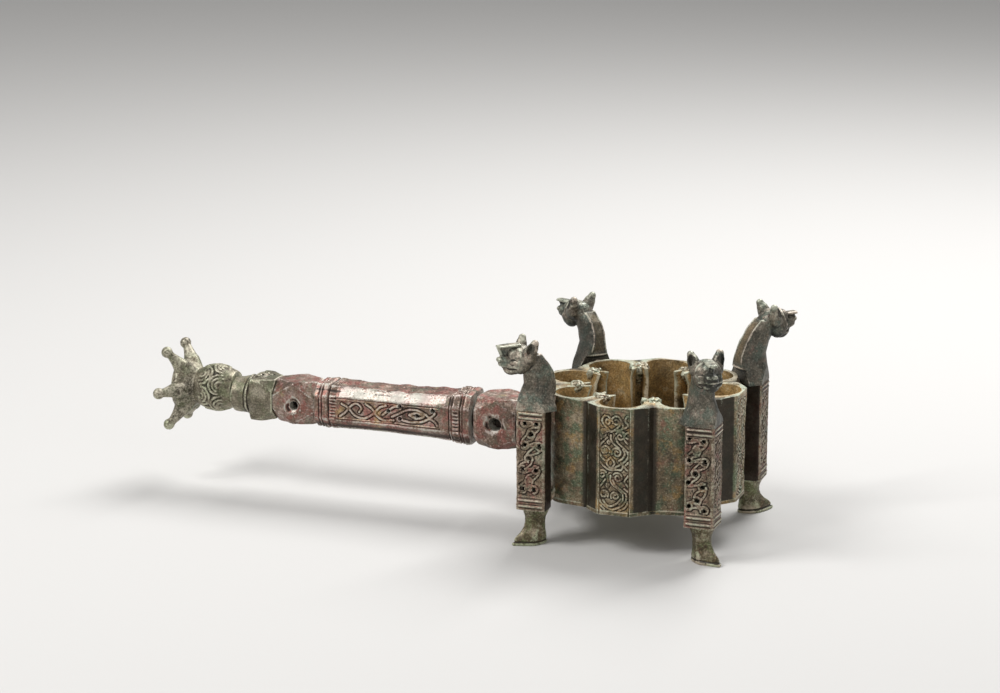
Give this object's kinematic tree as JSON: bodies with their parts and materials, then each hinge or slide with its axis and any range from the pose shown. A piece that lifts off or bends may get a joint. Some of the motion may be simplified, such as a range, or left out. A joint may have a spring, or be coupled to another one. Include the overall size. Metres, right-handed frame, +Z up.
{
  "type": "long-handled incense burner",
  "caption": "Cast bronze incense burner: open eight-lobed bowl on four pierced square legs with feline heads and booted feet, and a hollow faceted handle with a coronet finial.",
  "frame": {"origin": "on the ground under the middle of the whole object, coronet and bowl together", "axes": "X along the handle with the bowl at +X and the coronet at -X, Z up from the soles to the feline heads"},
  "size_m": [0.3166, 0.122, 0.1069],
  "materials": {
    "bowl_bronze": "cast bronze with grey brown and green patina, rubbed bright along the rim",
    "bowl_inside": "cast bronze with an ochre burnt earth crust",
    "leg_bronze": "pierced cast bronze, red brown cuprite with grey sheen on the raised bands",
    "head_bronze": "cast bronze, green grey patina worn pale on the ridges",
    "foot_bronze": "cast bronze, olive brown patina with pale worn edges",
    "handle_bronze": "faceted cast bronze, purple brown cuprite with engraved scroll and polished facets",
    "finial_bronze": "cast bronze, pale yellow green patina"
  },
  "bodies": {
    "root": {"floor_plate": "bowl_inside", "lobe_wall_right": "bowl_bronze", "lobe_wall_back_right": "bowl_bronze", "lobe_wall_back": "bowl_bronze", "lobe_wall_back_left": "bowl_bronze", "lobe_wall_handle": "bowl_bronze", "lobe_wall_front_left": "bowl_bronze", "lobe_wall_front": "bowl_bronze", "lobe_wall_front_right": "bowl_bronze", "leg_box_front_left": "leg_bronze", "leg_box_front_right": "leg_bronze", "leg_box_back_right": "leg_bronze", "leg_box_back_left": "leg_bronze", "feline_head_front_left": "head_bronze", "feline_head_front_right": "head_bronze", "feline_head_back_right": "head_bronze", "feline_head_back_left": "head_bronze", "foot_front_left": "foot_bronze", "foot_front_right": "foot_bronze", "foot_back_right": "foot_bronze", "foot_back_left": "foot_bronze", "upper_web_front_left": "leg_bronze", "upper_web_front_right": "leg_bronze", "upper_web_back_right": "leg_bronze", "upper_web_back_left": "leg_bronze", "lower_web_front_left": "leg_bronze", "lower_web_front_right": "leg_bronze", "lower_web_back_right": "leg_bronze", "lower_web_back_left": "leg_bronze", "handle_socket": "handle_bronze", "near_knob": "handle_bronze", "handle_shaft": "handle_bronze", "far_knob": "handle_bronze", "square_collar": "handle_bronze", "ribbed_ball": "finial_bronze", "coronet_finial": "finial_bronze"}
  },
  "joints": []
}
